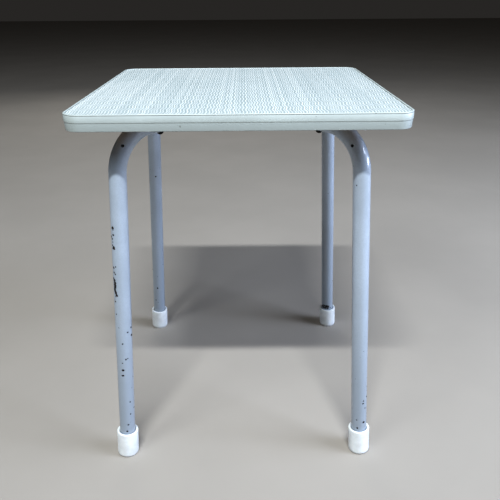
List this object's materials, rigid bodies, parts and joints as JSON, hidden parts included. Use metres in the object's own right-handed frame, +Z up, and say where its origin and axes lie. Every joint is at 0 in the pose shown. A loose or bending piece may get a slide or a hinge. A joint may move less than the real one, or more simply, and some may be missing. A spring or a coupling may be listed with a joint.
{
  "type": "small square table",
  "caption": "Small stool-height square table: laminated board with plastic edge band on a welded cross-frame of bent tube, with splayed legs in plastic caps.",
  "frame": {"origin": "on the floor, under the middle of the top", "axes": "+Z up, +X to the object's right as seen from the front, +Y to the back"},
  "size_m": [0.355, 0.355, 0.4576],
  "materials": {
    "chipboard": "raw chipboard",
    "patterned_laminate": "pale grey-green laminate embossed with fine wavy lines, satin",
    "backing_sheet": "plain brown balancing sheet, matt",
    "edge_plastic": "greenish grey-white extruded plastic, satin",
    "enamelled_tube": "light blue-grey gloss enamel, chipped in places",
    "black_screw": "blackened steel",
    "cap_plastic": "white moulded plastic, satin"
  },
  "bodies": {
    "root": {"board_core": "chipboard", "top_laminate": "patterned_laminate", "backing_sheet": "backing_sheet", "edge_band": "edge_plastic", "long_leg_tube": "enamelled_tube", "front_right_leg_tube": "enamelled_tube", "rear_left_leg_tube": "enamelled_tube", "centre_weld": "enamelled_tube", "frame_screws": "black_screw", "front_left_foot": "cap_plastic", "front_right_foot": "cap_plastic", "rear_left_foot": "cap_plastic", "rear_right_foot": "cap_plastic"}
  },
  "joints": []
}
